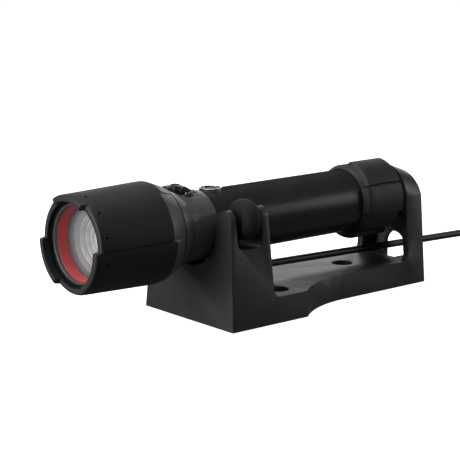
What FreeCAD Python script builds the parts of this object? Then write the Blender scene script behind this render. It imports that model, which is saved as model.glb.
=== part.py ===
"""A hand torch lying in its charging cradle, with the cradle's supply lead.

The origin is the middle of the cradle's underside. +Z is up and +X runs along the torch from its
lamp head to its tail, so the torch shines towards -X. All sizes are in millimetres.

Lengths along the torch are counted from the cradle's front edge ("along"), heights are counted
from the cradle's underside in the cradle and from the torch's own axis in the torch.
"""
import FreeCAD, Part
import math
import os
import Sketcher
from FreeCAD import Vector

SIZES = {
    # The cradle's base.
    "base_length": 153.4, "front_half_width": 36.15, "rear_half_width": 21.35,
    "waist_start": 50.6, "waist_end": 90.3, "floor_top": 13.5, "foot_round": 4.2,
    "shell_wall": 3.0, "cover_thickness": 2.0,
    # The front block with its two forked ears.
    "block_length": 28.4, "ear_height": 60.4, "ear_lean": 0.081, "front_lean": 0.045, "rear_lean": 0.03,
    "fork_start": 5.9, "fork_end": 22.6, "fork_bottom": 40.4, "fork_corner": 4.0, "front_notch": 20.6,
    "saddle_start": 13.0, "saddle_radius": 17.4,
    # The rear arch that holds the torch's tail.
    "arch_start": 140.8, "arch_shoulder": 49.0, "arch_front_half": 17.9, "arch_rear_half": 17.3,
    "arch_rear_rise": 12.7, "arch_wall": 4.2, "back_plate": 3.0, "door_half_width": 8.0,
    "door_sill": 9.5, "door_spring": 18.0,
    # Screw holes through the floor.
    "screw_x_front": 42.0, "screw_y_front": 22.0, "screw_x_rear": 109.2, "screw_bore": 2.25,
    "screw_head": 5.9, "screw_seat": 9.0,
    # Rollers.
    "roller_x": 14.2, "roller_y": 27.7, "roller_z": 55.0, "roller_radius": 10.3, "roller_width": 10.0,
    "roller_pin": 1.6, "roller_bush": 3.6,
    # Charging contacts.
    "contact_x": 9.6, "contact_spread": 4.5, "contact_top": 32.0, "contact_radius": 1.0,
    "holder_bottom": 13.6, "holder_height": 15.4, "holder_length": 6.4, "holder_width": 14.8,
    "pin_bottom": 22.4, "spring_bottom": 16.1,
    # The bottom cover, a T in plan.
    "cover_start": 3.4, "cover_end": 103.0, "cover_step": 25.5, "cover_wide": 24.5, "cover_narrow": 13.0,
    # The torch.
    "axis_height": 49.0, "tube_radius": 17.0, "tube_bore": 13.8, "neck_radius": 18.0, "neck_end": 6.0,
    "cone_start": -17.5, "cone_end": -9.7, "cone_radius": 22.2, "sleeve_radius": 19.4,
    "head_front": -70.6, "lobe_front": -73.6, "head_rear": -18.6, "head_front_radius": 24.8,
    "shoulder_radius": 26.0, "head_shoulder": -28.5, "head_rear_radius": 23.2, "rim_bore": 21.4,
    "barrel_bore": 19.8, "barrel_outside": 22.4, "groove_depth": 0.5, "groove_width": 0.5,
    "glass_front": -61.4, "glass_rear": -59.4, "glass_radius": 19.2, "sleeve_front": -38.0,
    "sleeve_bore": 15.6, "driver_front": -18.5, "driver_rear": -16.9,
    "battery_front": 28.0, "battery_rear": 116.0, "battery_radius": 13.2, "cap_floor": 124.0,
    "tube_end": 108.4, "thread_radius": 15.4, "cap_radius": 18.2,
    "grip_start": 107.8, "grip_end": 135.6, "grip_radius": 19.5, "lug_radius": 21.6,
    "tail_end": 149.0, "tail_nose_radius": 7.0,
    # Controls on the top of the torch.
    "power_x": 15.2, "power_ring": 5.9, "power_cap": 4.5, "power_top": 18.2,
    "mode_start": -7.8, "mode_end": 2.1, "mode_half_width": 4.2, "lock_half_width": 2.7,
    # The supply lead.
    "lead_radius": 2.0, "lead_start": 23.5, "lead_exit": 48.0, "lead_exit_height": 21.4,
    "coil_along": 257.0, "coil_radius": 22.0, "coil_half_width": 6.2, "coil_height": 12.0,
}

doc = FreeCAD.newDocument("torch_in_cradle")
sheet = doc.addObject("Spreadsheet::Sheet", "Sizes")
for row, (alias, number) in enumerate(SIZES.items(), start=1):
    sheet.set(f"A{row}", alias)
    sheet.set(f"B{row}", str(number))
    sheet.setAlias(f"B{row}", alias)
doc.recompute()


class Size:
    """A number of the sheet, or one worked out from several, with the formula that gives it."""

    def __init__(self, value, formula):
        self.value = float(value)
        self.formula = formula

    @staticmethod
    def of(thing):
        return thing if isinstance(thing, Size) else Size(thing, f"({float(thing)!r})")

    def combine(self, other, sign, value):
        return Size(value, f"({self.formula} {sign} {Size.of(other).formula})")

    def __add__(self, other):
        return self.combine(other, "+", self.value + Size.of(other).value)

    def __sub__(self, other):
        return self.combine(other, "-", self.value - Size.of(other).value)

    def __mul__(self, other):
        return self.combine(other, "*", self.value * Size.of(other).value)

    def __truediv__(self, other):
        return self.combine(other, "/", self.value / Size.of(other).value)

    def __radd__(self, other):
        return Size.of(other) + self

    def __rsub__(self, other):
        return Size.of(other) - self

    def __rmul__(self, other):
        return Size.of(other) * self

    def __neg__(self):
        return Size.of(0) - self


class Sheet:
    """The sheet's sizes as attributes, each with its formula."""

    def __getattr__(self, alias):
        return Size(SIZES[alias], f"Sizes.{alias}")


size = Sheet()
FRONT = -size.base_length / 2
nodes = {}


def bind(thing, prop, amount):
    """Set a property and tie it to the sheet."""
    amount = Size.of(amount)
    thing.setExpression(prop, amount.formula)


def place(thing, across=0, side=0, up=0):
    """Put a thing at a place counted from the cradle's front edge, its middle plane and its underside."""
    bind(thing, "Placement.Base.x", FRONT + across)
    bind(thing, "Placement.Base.y", side)
    bind(thing, "Placement.Base.z", up)
    return thing


def keep(label, thing):
    """Name a finished piece, which is written to a file of that name."""
    thing.Label = label
    nodes[label] = thing
    return thing


# ---- sketches -------------------------------------------------------------------------------------

def arc_centre(start, end, radius):
    """The centre of the arc from start to end; a positive radius turns to the left of the way."""
    middle = (start + end) / 2
    way = end - start
    left = Vector(-way.y, way.x, 0).normalize()
    rise = math.sqrt(max(radius * radius - way.Length * way.Length / 4, 0))
    return middle + left * (rise if radius > 0 else -rise)


def draw(sketch, outline):
    """Close an outline through points of (across, up) or (across, up, radius of the arc that follows)."""
    points = [Vector(Size.of(p[0]).value, Size.of(p[1]).value, 0) for p in outline]
    first = sketch.GeometryCount
    for number, point in enumerate(outline):
        start, end = points[number], points[(number + 1) % len(points)]
        if len(point) == 2:
            sketch.addGeometry(Part.LineSegment(start, end), False)
            continue
        radius = Size.of(point[2]).value
        centre = arc_centre(start, end, radius)
        begin = math.atan2(start.y - centre.y, start.x - centre.x)
        finish = math.atan2(end.y - centre.y, end.x - centre.x)
        if radius < 0:
            begin, finish = finish, begin
        circle = Part.Circle(centre, Vector(0, 0, 1), abs(radius))
        sketch.addGeometry(Part.ArcOfCircle(circle, begin, finish), False)
    for number, point in enumerate(outline):
        turned = len(point) == 3 and Size.of(point[2]).value < 0
        before = outline[number - 1]
        before_turned = len(before) == 3 and Size.of(before[2]).value < 0
        here = (first + number, 2 if turned else 1)
        last = (first + (number - 1) % len(outline), 1 if before_turned else 2)
        sketch.addConstraint(Sketcher.Constraint("Coincident", *last, *here))
        for kind, amount in (("DistanceX", point[0]), ("DistanceY", point[1])):
            fix(sketch, kind, here, amount)
        if len(point) == 3:
            rule = sketch.addConstraint(Sketcher.Constraint("Radius", here[0], abs(Size.of(point[2]).value)))
            if isinstance(point[2], Size):
                formula = point[2] if point[2].value > 0 else -point[2]
                sketch.setExpression(f"Constraints[{rule}]", formula.formula)


def fix(sketch, kind, spot, amount):
    """Hold one coordinate of a sketch point."""
    amount = Size.of(amount)
    if abs(amount.value) < 1e-9:
        axis = -2 if kind == "DistanceX" else -1
        sketch.addConstraint(Sketcher.Constraint("PointOnObject", *spot, axis))
        return
    rule = sketch.addConstraint(Sketcher.Constraint(kind, -1, 1, *spot, amount.value))
    sketch.setExpression(f"Constraints[{rule}]", amount.formula)


def draw_circle(sketch, across, up, radius):
    """Draw a circle by its centre and radius."""
    centre = Vector(Size.of(across).value, Size.of(up).value, 0)
    number = sketch.addGeometry(Part.Circle(centre, Vector(0, 0, 1), Size.of(radius).value), False)
    fix(sketch, "DistanceX", (number, 3), across)
    fix(sketch, "DistanceY", (number, 3), up)
    rule = sketch.addConstraint(Sketcher.Constraint("Radius", number, Size.of(radius).value))
    sketch.setExpression(f"Constraints[{rule}]", Size.of(radius).formula)


def new_body(label):
    """A body for one piece."""
    return doc.addObject("PartDesign::Body", f"body_{label}")


def new_sketch(body, plane, offset=None):
    """A sketch on one of the body's own origin planes, moved along its normal by an offset."""
    sketch = body.newObject("Sketcher::SketchObject", f"{body.Name}_outline")
    support = [part for part in body.Origin.OriginFeatures if part.Role == plane][0]
    sketch.AttachmentSupport = [(support, "")]
    sketch.MapMode = "FlatFace"
    if offset is not None:
        bind(sketch, "AttachmentOffset.Base.z", offset)
    return sketch


def feature(body, kind, sketch, **settings):
    """Add a feature that uses a sketch."""
    item = body.newObject(f"PartDesign::{kind}", f"{body.Name}_{kind.lower()}")
    item.Profile = sketch
    for name, setting in settings.items():
        if isinstance(setting, Size):
            bind(item, name, setting)
        else:
            setattr(item, name, setting)
    sketch.Visibility = False
    return item


def pad(body, plane, outline, thickness, offset=None, middle=False, kind="Pad", reverse=False, **more):
    """Add or cut a flat outline's thickness."""
    sketch = new_sketch(body, plane, offset)
    if outline[0] == "circle":
        draw_circle(sketch, *outline[1:])
    else:
        draw(sketch, outline)
    return feature(body, kind, sketch, Length=Size.of(thickness), Midplane=middle, Reversed=reverse, **more)


def turn(label, outline, up=0, side=0, across=0):
    """A piece turned about the lengthwise axis, from an outline of (along, radius) points."""
    body = new_body(label)
    sketch = new_sketch(body, "XZ_Plane")
    draw(sketch, outline)
    feature(body, "Revolution", sketch, ReferenceAxis=(sketch, ["H_Axis"]), Angle=360.0)
    place(body, across, side, up)
    return body


def tube(start, end, bore, radius):
    """The outline of a plain tube, to be turned."""
    return [(start, bore), (end, bore), (end, radius), (start, radius)]


def disc(start, end, radius):
    """The outline of a plain disc, to be turned."""
    return [(start, 0), (end, 0), (end, radius), (start, radius)]


# ---- solids ---------------------------------------------------------------------------------------

def box(across, side, up, long, wide, high):
    """A plain box by its lowest corner and its size."""
    item = doc.addObject("Part::Box", "block")
    bind(item, "Length", long)
    bind(item, "Width", wide)
    bind(item, "Height", high)
    return place(item, across, side, up)


def cylinder(across, side, up, radius, long, way="up"):
    """A plain cylinder from a point, along +Z or along +X."""
    item = doc.addObject("Part::Cylinder", "round")
    bind(item, "Radius", radius)
    bind(item, "Height", long)
    if way == "along":
        item.Placement.Rotation = FreeCAD.Rotation(Vector(0, 1, 0), 90)
    return place(item, across, side, up)


def join(*things):
    """One solid made of several that meet."""
    item = doc.addObject("Part::MultiFuse", "joined")
    item.Shapes = list(things)
    item.Refine = True
    return item


def cut(base, *tools):
    """A solid with others taken out of it."""
    item = doc.addObject("Part::Cut", "cut")
    item.Base = base
    item.Tool = tools[0] if len(tools) == 1 else join(*tools)
    item.Refine = True
    return item


def common(first, second):
    """What two solids have in common."""
    item = doc.addObject("Part::Common", "shared")
    item.Base = first
    item.Tool = second
    return item


def group(*things):
    """Separate solids that make one node."""
    item = doc.addObject("Part::Compound", "set")
    item.Links = list(things)
    return item


# ---- the cradle -----------------------------------------------------------------------------------

def plan_outline(height):
    """The base's outline at a height: wide at the front, drawn in by a hollow curve on each side."""
    front_half = size.front_half_width - size.ear_lean * height
    rear_half = size.rear_half_width - size.ear_lean * height
    run = size.waist_end - size.waist_start
    step = size.front_half_width - size.rear_half_width
    hollow = -((run * run + step * step) / (2 * step))
    nose = size.front_lean * height
    return [(nose, -front_half), (size.waist_start, -front_half, hollow), (size.waist_end, -rear_half),
            (size.base_length, -rear_half), (size.base_length, rear_half),
            (size.waist_end, rear_half, hollow), (size.waist_start, front_half), (nose, front_half)]


def loft(label, plane, lower, upper, first, second):
    """A straight-sided body between two outlines on parallel planes."""
    body = new_body(label)
    low = new_sketch(body, plane, first)
    draw(low, lower)
    high = new_sketch(body, plane, second)
    draw(high, upper)
    item = body.newObject("PartDesign::AdditiveLoft", f"{body.Name}_loft")
    item.Profile = low
    item.Sections = [high]
    item.Ruled = True
    return body


def base_slab():
    """The low base with its leaning sides."""
    body = loft("slab", "XY_Plane", plan_outline(0), plan_outline(size.floor_top), Size.of(0), size.floor_top)
    return place(body)


def ear_block():
    """The front block: its front view and its side view, where both agree."""
    across = new_body("ear_front_view")
    foot = size.front_half_width
    shoulder = size.ear_height - 5
    edge = foot - size.ear_lean * shoulder
    crown = edge - 5
    outline = [(-foot, 0), (foot, 0), (edge, shoulder, Size.of(5.6)), (crown, size.ear_height),
               (size.front_notch - 1, size.ear_height - 2.6), (1 - size.front_notch, size.ear_height - 2.6),
               (-crown, size.ear_height, Size.of(5.6)), (-edge, shoulder)]
    pad(across, "YZ_Plane", outline, size.block_length + 2 * size.foot_round)
    place(across)
    along = new_body("ear_side_view")
    top = size.ear_height + 1
    rear_top = size.block_length - size.rear_lean * top
    foot = size.block_length + size.foot_round
    outline = [(0, 0), (foot, 0), (foot, size.floor_top, -size.foot_round),
               (size.block_length, size.floor_top + size.foot_round), (rear_top, top),
               (size.front_lean * top, top)]
    pad(along, "XZ_Plane", outline, 2 * size.front_half_width + 2, middle=True)
    place(along)
    return common(across, along)


def arch_outline(half, rise, foot):
    """The arch's outer outline: leaning legs under a round top."""
    spring = size.arch_shoulder
    bend = (half * half + rise * rise) / (2 * rise)
    return [(-foot, 0), (foot, 0), (half, spring, bend), (0, spring + rise, bend), (-half, spring)]


def rear_arch():
    """The arch at the tail, whose top slopes down to the rear."""
    front = arch_outline(size.arch_front_half, size.arch_front_half * 0.98, size.rear_half_width)
    rear = arch_outline(size.arch_rear_half, size.arch_rear_rise, size.rear_half_width)
    body = loft("arch", "YZ_Plane", front, rear, size.arch_start, size.base_length)
    return place(body)


def arch_foot():
    """The rounded corner between the floor and the front of the arch's legs."""
    across = new_body("foot_front_view")
    front = arch_outline(size.arch_front_half, size.arch_front_half * 0.98, size.rear_half_width)
    pad(across, "YZ_Plane", front, size.foot_round + 2, offset=size.arch_start - size.foot_round - 1)
    place(across)
    along = new_body("foot_side_view")
    start, floor, end = size.arch_start - size.foot_round, size.floor_top, size.arch_start + 0.5
    outline = [(start, floor - 1), (end, floor - 1), (end, floor + size.foot_round),
               (size.arch_start, floor + size.foot_round, -size.foot_round), (start, floor)]
    pad(along, "XZ_Plane", outline, 2 * size.rear_half_width + 2, middle=True)
    place(along)
    return common(across, along)


def channel(radius, start, end, top):
    """A cutter for a round-bottomed channel under the torch, open at the top."""
    body = new_body("channel")
    centre = size.axis_height
    outline = [(-radius, top), (-radius, centre, radius), (0, centre - radius, radius),
               (radius, centre), (radius, top)]
    pad(body, "YZ_Plane", outline, end - start, offset=start)
    return place(body)


def fork_gap():
    """The cutter for the gap between each ear's two prongs."""
    body = new_body("fork_gap")
    low, corner = size.fork_bottom, size.fork_corner
    start, end, top = size.fork_start, size.fork_end, size.ear_height + 5
    outline = [(start, top), (start, low + corner, corner), (start + corner, low),
               (end - corner, low, corner), (end, low + corner), (end, top)]
    pad(body, "XZ_Plane", outline, 2 * size.front_half_width + 4, middle=True)
    return place(body)


def tail_recess():
    """The cutter for the recess that takes the torch's tail."""
    body = new_body("tail_recess")
    half, centre = size.arch_rear_half - size.arch_wall, size.arch_shoulder - 2
    start = size.arch_start - size.foot_round - 2
    foot = half + size.ear_lean * centre
    outline = [(-foot, size.floor_top), (foot, size.floor_top), (half, centre, half),
               (0, centre + half, half), (-half, centre)]
    pad(body, "YZ_Plane", outline, size.base_length - size.back_plate - start, offset=start)
    return place(body)


def doorway():
    """The cutter for the arched doorway in the back plate, which the lead passes through."""
    body = new_body("doorway")
    half, spring = size.door_half_width, size.door_spring
    outline = [(-half, size.door_sill), (half, size.door_sill), (half, spring, half),
               (0, spring + half, half), (-half, spring)]
    pad(body, "YZ_Plane", outline, size.base_length - size.arch_start, offset=size.arch_start + 1.5)
    return place(body)


def cover_outline(gap=0.0):
    """The T-shaped outline of the bottom cover, or of its seat when a gap is given."""
    wide, narrow, step = size.cover_wide + gap, size.cover_narrow + gap, size.cover_step + gap
    start, end = size.cover_start - gap, size.cover_end + gap
    return [(start, -wide), (step, -wide), (step, -narrow), (end, -narrow),
            (end, narrow), (step, narrow), (step, wide), (start, wide)]


COVER_SCREWS = [(6.6, -21), (6.6, 21), (99, -9), (99, 9)]
FLOOR_SCREWS = [(size.screw_x_front, -size.screw_y_front), (size.screw_x_front, size.screw_y_front),
                (size.screw_x_rear, Size.of(0))]


def cradle_shell():
    """The cradle's one-piece moulding."""
    seat = new_body("cover_seat")
    pad(seat, "XY_Plane", cover_outline(0.15), size.cover_thickness)
    place(seat)
    tools = [seat, channel(size.front_notch, Size.of(-1), size.saddle_start, size.ear_height + 5),
             channel(size.saddle_radius, size.saddle_start - 1, size.block_length + 1, size.ear_height + 5),
             fork_gap(), tail_recess(), doorway()]
    under = size.cover_thickness - 0.5
    tools.append(box(9.5, -18, under, 15.0, 36, 20 - under))
    tools.append(box(24, -8, under, 68, 16, size.floor_top - size.shell_wall - under))
    tools.append(box(16, -7, 19.5, 8.5, 14, 7))
    tools.append(box(size.contact_x - size.holder_length / 2, -size.holder_width / 2, under,
                     size.holder_length, size.holder_width, 30))
    tools.append(cylinder(size.lead_start, 0, size.lead_exit_height, 4.2, 10, "along"))
    for across, side in FLOOR_SCREWS:
        tools.append(cylinder(across, side, -1, size.screw_bore, size.floor_top + 2))
        tools.append(cylinder(across, side, size.screw_seat, size.screw_head, size.floor_top))
    for across, side in COVER_SCREWS:
        tools.append(cylinder(across, side, 0.5, 1.1, 8.5))
    for side in (-size.roller_y, size.roller_y):
        tools.append(cylinder(3.6, side, size.roller_z, size.roller_pin, 21.6, "along"))
    return cut(join(base_slab(), ear_block(), rear_arch(), arch_foot()), *tools)


keep("cradle_shell", cradle_shell())

cover = new_body("bottom_cover")
pad(cover, "XY_Plane", cover_outline(), size.cover_thickness)
place(cover)
seats = [cylinder(across, side, -1, 1.3, 6) for across, side in COVER_SCREWS]
seats += [cylinder(across, side, -1, 2.5, 2.2) for across, side in COVER_SCREWS]
keep("bottom_cover", cut(cover, *seats))


def cover_screw(across, side):
    """A small pan-head screw, head down, flush with the cover's outside."""
    head = cut(cylinder(across, side, 0.1, 2.3, 1.1), cylinder(across, side, 0, 0.8, 0.7))
    return join(head, cylinder(across, side, 1.1, 1.1, 6.9))


keep("cover_screws", group(*[cover_screw(across, side) for across, side in COVER_SCREWS]))


# ---- rollers --------------------------------------------------------------------------------------

def tyre_outline():
    """A full-round rubber roller on a wider bush, along its own axle."""
    half, crown, bore = size.roller_width / 2, size.roller_radius, size.roller_bush
    edge = crown - half
    return [(-half, bore), (half, bore), (half, edge, half), (0, crown, half), (-half, edge)]


for name, side in (("left", -size.roller_y), ("right", size.roller_y)):
    pin = turn(f"roller_pin_{name}", disc(3.6, 25.2, size.roller_pin), size.roller_z, side)
    keep(f"roller_pin_{name}", pin)
    bush_half = size.roller_width / 2 + 0.8
    bush = tube(-bush_half, bush_half, size.roller_pin + 0.3, size.roller_bush)
    keep(f"roller_bush_{name}", turn(f"roller_bush_{name}", bush, size.roller_z, side, size.roller_x))
    tyre = turn(f"roller_tyre_{name}", tyre_outline(), size.roller_z, side, size.roller_x)
    keep(f"roller_tyre_{name}", tyre)


# ---- charging contacts and supply -----------------------------------------------------------------

holder = box(size.contact_x - size.holder_length / 2, -size.holder_width / 2, size.holder_bottom,
             size.holder_length, size.holder_width, size.holder_height)
spots = (-size.contact_spread, size.contact_spread)
wells = [cylinder(size.contact_x, side, 16.0, 1.9, 9) for side in spots]
necks = [cylinder(size.contact_x, side, 24, size.contact_radius + 0.3, 8) for side in spots]
keep("contact_holder", cut(holder, *wells, *necks))


def contact_pin(side):
    """A gilt plunger with a collar that the spring pushes up."""
    shank = cylinder(size.contact_x, side, size.pin_bottom, size.contact_radius,
                     size.contact_top - size.pin_bottom)
    return join(shank, cylinder(size.contact_x, side, size.pin_bottom, 1.5, 2.2))


keep("contact_pins", group(*[contact_pin(side) for side in spots]))
spring_length = size.pin_bottom - size.spring_bottom
coils = [cut(cylinder(size.contact_x, side, size.spring_bottom, 1.5, spring_length),
             cylinder(size.contact_x, side, size.spring_bottom - 0.1, 1.0, spring_length + 0.7))
         for side in spots]
keep("contact_springs", group(*coils))
keep("charge_board", box(9.8, -17, 12.0, 14.2, 34, 1.6))

gland = turn("lead_gland", [(size.lead_start, size.lead_radius), (size.lead_exit, size.lead_radius),
                            (size.lead_exit, 2.7), (29.6, 4.0), (29.6, 5.2), (28.4, 5.2), (28.4, 4.2),
                            (size.lead_start, 4.2)], size.lead_exit_height)
keep("lead_gland", gland)
keep("tail_cushion", box(149.5, -8, 36, size.base_length - size.back_plate - 149.5, 16, 18))


# ---- the torch's body -----------------------------------------------------------------------------

AXIS = size.axis_height


def torch_turn(label, outline):
    """A piece turned about the torch's own axis."""
    return turn(label, outline, AXIS)


thread = size.thread_radius
tube_wall = [(3, size.tube_bore), (122, size.tube_bore), (122, thread), (111.6, thread), (111.6, 14.6),
             (110, 14.6), (110, thread), (size.tube_end, thread), (size.tube_end, size.tube_radius),
             (size.neck_end + 0.2, size.tube_radius), (size.neck_end + 0.2, size.sleeve_bore),
             (3, size.sleeve_bore)]
power_hole = cylinder(size.power_x, 0, AXIS + 5, size.power_ring, 20)
pad_seat = box(size.contact_x - 2, -7, AXIS - 18, 4.4, 14, 5.6)
keep("battery_tube", cut(torch_turn("battery_tube", tube_wall), power_hole, pad_seat))

neck_wall = [(size.sleeve_front, size.sleeve_bore), (size.neck_end, size.sleeve_bore),
             (size.neck_end, size.neck_radius), (-9, size.neck_radius),
             (size.cone_end, 18.6), (size.cone_start, size.cone_radius), (size.cone_start, size.sleeve_radius),
             (-32, size.sleeve_radius), (-32, 18.2), (-34, 18.2), (-34, size.sleeve_radius),
             (size.sleeve_front, size.sleeve_radius)]
mode_hole = box(size.mode_start - 0.3, -size.mode_half_width - 0.3, AXIS + 10,
                size.mode_end - size.mode_start + 0.6, 2 * size.mode_half_width + 0.6, 12)
lock_seat = box(-16.4, -5.2, AXIS + 18.6, 7.7, 10.4, 6)
lock_slot = box(-14.4, -3.6, AXIS + 12, 3.8, 7.2, 10)


def guard_rail(side):
    """A polished rail beside the mode button, with round ends."""
    body = new_body("guard_rail")
    outline = [(-5.5, -1.0), (-2.0, -1.0, Size.of(1.0)), (-1.0, 0, Size.of(1.0)), (-2.0, 1.0),
               (-5.5, 1.0, Size.of(1.0)), (-6.5, 0, Size.of(1.0))]
    pad(body, "XY_Plane", outline, 2.2)
    return place(body, 0, side, AXIS + 16.5)


guard_rails = [guard_rail(side) for side in (-6.0, 6.0)]
keep("button_guards", group(*guard_rails))
keep("neck_housing", cut(torch_turn("neck_housing", neck_wall), mode_hole, lock_seat, lock_slot,
                         *guard_rails))

core = [(-44, 1.6), (-20, 1.6), (-20, size.sleeve_bore), (size.sleeve_front, size.sleeve_bore),
        (size.sleeve_front, 14), (-40, 14), (-40, 9), (-44, 9)]
keep("heat_sink", torch_turn("heat_sink", core))
keep("led_board", torch_turn("led_board", disc(-45.4, -44, 8)))
chip = [(-47.6, 0), (-45.4, 0), (-45.4, 2.6), (-46.0, 2.6, Size.of(-2.7))]
keep("led_emitter", torch_turn("led_emitter", chip))
keep("driver_board", torch_turn("driver_board", disc(size.driver_front, size.driver_rear, size.sleeve_bore)))
battery = [(size.battery_front, 0), (size.battery_rear, 0), (size.battery_rear, size.battery_radius - 0.8),
           (size.battery_rear - 1, size.battery_radius), (size.battery_front + 1, size.battery_radius),
           (size.battery_front, size.battery_radius - 0.8)]
keep("battery_pack", torch_turn("battery_pack", battery))
keep("front_contact", torch_turn("front_contact", tube(25.4, size.battery_front, 1.5, 5.5)))
keep("contact_disc", torch_turn("contact_disc", disc(23.8, 25.4, 13.4)))
keep("switch_board", box(-9.5, -6, AXIS + 8.4, 29.5, 12, 1.5))

insulator = box(size.contact_x - 2, -7, AXIS - 16.9, 4.4, 14, 3.1)
pad_holes = [cylinder(size.contact_x + 0.2, side, AXIS - 17, 1.5, 1.6) for side in spots]
keep("pad_insulator", cut(insulator, *pad_holes))
pads = [cylinder(size.contact_x + 0.2, side, AXIS - 16.6, 1.5, 1.2) for side in spots]
keep("charge_pads", group(*pads))

collar = cylinder(size.power_x, 0, AXIS + 12.8, size.power_ring, size.power_top - 12.8)
keep("button_ring", cut(collar, cylinder(size.power_x, 0, AXIS + 12, size.power_cap + 0.3, 8)))
keep("power_button", cylinder(size.power_x, 0, AXIS + 11.4, size.power_cap, size.power_top - 11.6))

hump_side = [(size.mode_start, AXIS + 11.6), (size.mode_end, AXIS + 11.6), (size.mode_end, AXIS + 18.2),
             (-3.2, AXIS + 21.2, Size.of(2.4)), (-6.0, AXIS + 21.4, Size.of(2.2)),
             (size.mode_start, AXIS + 19.4)]
hump = new_body("mode_button")
pad(hump, "XZ_Plane", hump_side, 2 * size.mode_half_width, middle=True)
keep("mode_button", place(hump))

knob_side = [(-15.9, AXIS + 18.9), (-9.1, AXIS + 18.9), (-9.1, AXIS + 20.6, Size.of(1.8)),
             (-10.9, AXIS + 22.2), (-14.1, AXIS + 22.2, Size.of(1.8)), (-15.9, AXIS + 20.6)]
knob = new_body("lock_knob")
pad(knob, "XZ_Plane", knob_side, 2 * size.lock_half_width, middle=True)
place(knob)
stem = box(-14.1, -1.4, AXIS + 14.2, 3.2, 2.8, 5)
keep("lock_slider", join(knob, stem))
keep("head_oring", torch_turn("head_oring", tube(-34, -32, 18.2, size.barrel_bore - 0.35)))


# ---- the lamp head --------------------------------------------------------------------------------

def spaced(body, feature_to_repeat, count, span=360.0):
    """Repeat a feature evenly over part of a turn round the body's lengthwise axis, or all of it."""
    axis = [part for part in body.Origin.OriginFeatures if part.Role == "X_Axis"][0]
    pattern = body.newObject("PartDesign::PolarPattern", f"{body.Name}_pattern")
    pattern.Originals = [feature_to_repeat]
    pattern.Axis = (axis, [""])
    pattern.Angle = span
    pattern.Occurrences = count
    body.Tip = pattern
    return pattern


def segment(body, outline, span, back=False):
    """Add part of a turned ring, from the plane through the axis and the top."""
    sketch = new_sketch(body, "XZ_Plane")
    draw(sketch, outline)
    return feature(body, "Revolution", sketch, ReferenceAxis=(sketch, ["H_Axis"]), Angle=float(span),
                   Reversed=back)


def head_bumper():
    """The head's rubber cover: a long barrel with three raised lobes on its rim and three thin grooves."""
    start, shoulder, end = size.head_front, size.head_shoulder, size.head_rear
    front, widest, bore = size.head_front_radius, size.shoulder_radius, size.rim_bore
    lip, wall = start + 2.0, size.barrel_outside
    body = torch_turn("head_bumper", [
        (lip, wall), (end, wall), (end, size.head_rear_radius), (shoulder, widest), (start + 1.2, front),
        (start, front - 1.0), (start, bore), (lip, bore)])
    top = size.lobe_front
    lobe = segment(body, [(top, bore), (start + 0.5, bore), (start + 0.5, front - 0.6), (start, front - 0.4),
                          (top + 1.0, front - 0.7), (top, front - 1.7)], 60)
    spaced(body, lobe, 3)
    sketch = new_sketch(body, "XZ_Plane")
    slope = (widest - front) / (shoulder - start)
    depth = size.groove_depth
    draw(sketch, [(start + 2, front + slope * 2 - depth), (shoulder, widest - depth), (shoulder, widest + 3),
                  (start + 2, widest + 3)])
    groove = feature(body, "Pocket", sketch, Length=size.groove_width, Midplane=True)
    spaced(body, groove, 3)
    body.Placement.Rotation = FreeCAD.Rotation(Vector(1, 0, 0), 90)
    return body


keep("head_bumper", head_bumper())
barrel = tube(size.head_front + 2.2, size.head_rear, size.barrel_bore, size.barrel_outside)
keep("head_barrel", torch_turn("head_barrel", barrel))
screwed_ring = [(-68.2, 19.0), (-66.5, 18.6), (-66.5, size.barrel_bore), (-68.2, size.barrel_bore)]
keep("retaining_ring", torch_turn("retaining_ring", screwed_ring))
collar = [(-66.4, 18.5), (size.glass_front, 17.4), (size.glass_front, size.barrel_bore),
          (-66.4, size.barrel_bore)]
keep("red_ring", torch_turn("red_ring", collar))
keep("front_glass", torch_turn("front_glass", disc(size.glass_front, size.glass_rear, size.glass_radius)))
seal = tube(size.glass_front, size.glass_rear, size.glass_radius, size.barrel_bore)
keep("glass_seal", torch_turn("glass_seal", seal))
lens = [(-58.2, 0), (-52.6, 0), (-52.6, 4.4), (-47.8, 4.9), (-47.8, 6.2), (-51.5, 11.8), (-56.0, 16.0),
        (-58.2, 17.0)]
keep("collimator", torch_turn("collimator", lens))
cup = [(-59.2, 17.4), (-57.6, 17.4), (-55.6, 16.5), (-50.9, 12.0), (-47.2, 6.6), (-47.2, size.barrel_bore),
       (-59.2, size.barrel_bore)]
keep("lens_holder", torch_turn("lens_holder", cup))


# ---- the tail -------------------------------------------------------------------------------------

nose = size.tail_nose_radius
cap = [(size.grip_start + 1, 15.75), (size.cap_floor, 15.75), (size.cap_floor, 0), (size.tail_end, 0),
       (size.tail_end, nose - 1),
       (size.tail_end - 1, nose), (138.5, nose), (size.grip_end - 0.4, size.cap_radius),
       (size.grip_start + 1, size.cap_radius)]
keep("tail_cap", torch_turn("tail_cap", cap))


def lug_profile(front):
    """The outline of one lug's section, from a front edge that slopes back."""
    root, top, end = size.grip_radius - 0.4, size.lug_radius, size.grip_end - 0.6
    return [(front - 0.6, root), (end, root), (end, top - 1.0), (end - 1.2, top), (front, top)]


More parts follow.
